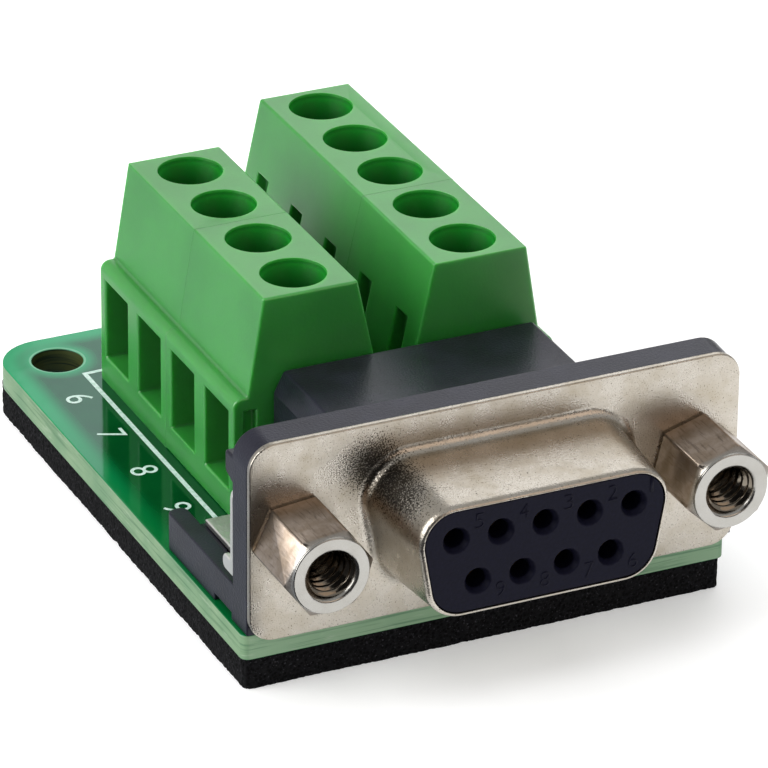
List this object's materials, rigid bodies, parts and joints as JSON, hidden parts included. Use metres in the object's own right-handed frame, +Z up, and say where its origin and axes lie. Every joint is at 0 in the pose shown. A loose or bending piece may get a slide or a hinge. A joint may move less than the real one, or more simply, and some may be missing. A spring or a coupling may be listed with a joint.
{
  "type": "d-sub terminal block adapter",
  "caption": "Board-mounted D-shaped socket with jackscrews, wired to two rows of rising-cage screw terminals on a small circuit board with a foam pad.",
  "frame": {"origin": "middle of the foam pad's underside, under the centre of the board", "axes": "+X along the connector's flange to the right seen from its mating side, +Y from the flange to the back of the board, +Z up"},
  "size_m": [0.0311, 0.0461, 0.0177],
  "materials": {
    "foam": "closed-cell foam",
    "solder_mask": "solder mask over glass laminate",
    "nickel_shell": "nickel plated pressing",
    "black_moulding": "glass filled moulding",
    "green_moulding": "satin moulding",
    "tinned_strap": "bright tin plate",
    "nickel_fastener": "turned and nickel plated",
    "gold_contact": "flash gilt",
    "tinned_bar": "tin plate",
    "zinc_screw": "zinc plate",
    "nickel_cage": "nickel plate"
  },
  "bodies": {
    "base": {"foam_pad": "foam", "circuit_board": "solder_mask", "front_shell": "nickel_shell", "socket_insulator": "black_moulding", "rear_bracket": "black_moulding", "left_board_lock": "tinned_strap", "left_jackscrew": "nickel_fastener", "left_jack_nut": "nickel_fastener", "right_board_lock": "tinned_strap", "right_jackscrew": "nickel_fastener", "right_jack_nut": "nickel_fastener", "socket_contact_1": "gold_contact", "socket_contact_2": "gold_contact", "socket_contact_3": "gold_contact", "socket_contact_4": "gold_contact", "socket_contact_5": "gold_contact", "socket_contact_6": "gold_contact", "socket_contact_7": "gold_contact", "socket_contact_8": "gold_contact", "socket_contact_9": "gold_contact", "left_front_housing": "green_moulding", "left_rear_housing": "green_moulding", "right_front_housing": "green_moulding", "right_rear_housing": "green_moulding", "solder_bar_1": "tinned_bar", "solder_bar_2": "tinned_bar", "solder_bar_3": "tinned_bar", "solder_bar_4": "tinned_bar", "solder_bar_5": "tinned_bar", "solder_bar_6": "tinned_bar", "solder_bar_7": "tinned_bar", "solder_bar_8": "tinned_bar", "solder_bar_9": "tinned_bar"},
    "screw_1": {"clamp_screw_1": "zinc_screw"},
    "cage_1": {"clamp_cage_1": "nickel_cage"},
    "screw_2": {"clamp_screw_2": "zinc_screw"},
    "cage_2": {"clamp_cage_2": "nickel_cage"},
    "screw_3": {"clamp_screw_3": "zinc_screw"},
    "cage_3": {"clamp_cage_3": "nickel_cage"},
    "screw_4": {"clamp_screw_4": "zinc_screw"},
    "cage_4": {"clamp_cage_4": "nickel_cage"},
    "screw_5": {"clamp_screw_5": "zinc_screw"},
    "cage_5": {"clamp_cage_5": "nickel_cage"},
    "screw_6": {"clamp_screw_6": "zinc_screw"},
    "cage_6": {"clamp_cage_6": "nickel_cage"},
    "screw_7": {"clamp_screw_7": "zinc_screw"},
    "cage_7": {"clamp_cage_7": "nickel_cage"},
    "screw_8": {"clamp_screw_8": "zinc_screw"},
    "cage_8": {"clamp_cage_8": "nickel_cage"},
    "screw_9": {"clamp_screw_9": "zinc_screw"},
    "cage_9": {"clamp_cage_9": "nickel_cage"}
  },
  "joints": [
    {"name": "screw_1_turn", "type": "hinge", "parent": "base", "child": "screw_1", "pos_m": [0.0055, 0.01621, 0.01415], "axis": [0, 0, -1], "range_deg": [0, 2053]},
    {"name": "cage_1_lift", "type": "slide", "parent": "base", "child": "cage_1", "axis": [0, 0, 1], "range_m": [0, 0.00285]},
    {"name": "screw_2_turn", "type": "hinge", "parent": "base", "child": "screw_2", "pos_m": [0.0055, 0.01113, 0.01415], "axis": [0, 0, -1], "range_deg": [0, 2053]},
    {"name": "cage_2_lift", "type": "slide", "parent": "base", "child": "cage_2", "axis": [0, 0, 1], "range_m": [0, 0.00285]},
    {"name": "screw_3_turn", "type": "hinge", "parent": "base", "child": "screw_3", "pos_m": [0.0055, 0.00605, 0.01415], "axis": [0, 0, -1], "range_deg": [0, 2053]},
    {"name": "cage_3_lift", "type": "slide", "parent": "base", "child": "cage_3", "axis": [0, 0, 1], "range_m": [0, 0.00285]},
    {"name": "screw_4_turn", "type": "hinge", "parent": "base", "child": "screw_4", "pos_m": [0.0055, 0.00097, 0.01415], "axis": [0, 0, -1], "range_deg": [0, 2053]},
    {"name": "cage_4_lift", "type": "slide", "parent": "base", "child": "cage_4", "axis": [0, 0, 1], "range_m": [0, 0.00285]},
    {"name": "screw_5_turn", "type": "hinge", "parent": "base", "child": "screw_5", "pos_m": [0.0055, -0.00411, 0.01415], "axis": [0, 0, -1], "range_deg": [0, 2053]},
    {"name": "cage_5_lift", "type": "slide", "parent": "base", "child": "cage_5", "axis": [0, 0, 1], "range_m": [0, 0.00285]},
    {"name": "screw_6_turn", "type": "hinge", "parent": "base", "child": "screw_6", "pos_m": [-0.0055, 0.01086, 0.01415], "axis": [0, 0, -1], "range_deg": [0, 2053]},
    {"name": "cage_6_lift", "type": "slide", "parent": "base", "child": "cage_6", "axis": [0, 0, 1], "range_m": [0, 0.00285]},
    {"name": "screw_7_turn", "type": "hinge", "parent": "base", "child": "screw_7", "pos_m": [-0.0055, 0.00578, 0.01415], "axis": [0, 0, -1], "range_deg": [0, 2053]},
    {"name": "cage_7_lift", "type": "slide", "parent": "base", "child": "cage_7", "axis": [0, 0, 1], "range_m": [0, 0.00285]},
    {"name": "screw_8_turn", "type": "hinge", "parent": "base", "child": "screw_8", "pos_m": [-0.0055, 0.0007, 0.01415], "axis": [0, 0, -1], "range_deg": [0, 2053]},
    {"name": "cage_8_lift", "type": "slide", "parent": "base", "child": "cage_8", "axis": [0, 0, 1], "range_m": [0, 0.00285]},
    {"name": "screw_9_turn", "type": "hinge", "parent": "base", "child": "screw_9", "pos_m": [-0.0055, -0.00438, 0.01415], "axis": [0, 0, -1], "range_deg": [0, 2053]},
    {"name": "cage_9_lift", "type": "slide", "parent": "base", "child": "cage_9", "axis": [0, 0, 1], "range_m": [0, 0.00285]}
  ],
  "couplings": [
    {"joint": "screw_1_turn", "follows": "cage_1_lift", "rad_per_m": 12566},
    {"joint": "screw_2_turn", "follows": "cage_2_lift", "rad_per_m": 12566},
    {"joint": "screw_3_turn", "follows": "cage_3_lift", "rad_per_m": 12566},
    {"joint": "screw_4_turn", "follows": "cage_4_lift", "rad_per_m": 12566},
    {"joint": "screw_5_turn", "follows": "cage_5_lift", "rad_per_m": 12566},
    {"joint": "screw_6_turn", "follows": "cage_6_lift", "rad_per_m": 12566},
    {"joint": "screw_7_turn", "follows": "cage_7_lift", "rad_per_m": 12566},
    {"joint": "screw_8_turn", "follows": "cage_8_lift", "rad_per_m": 12566},
    {"joint": "screw_9_turn", "follows": "cage_9_lift", "rad_per_m": 12566}
  ]
}
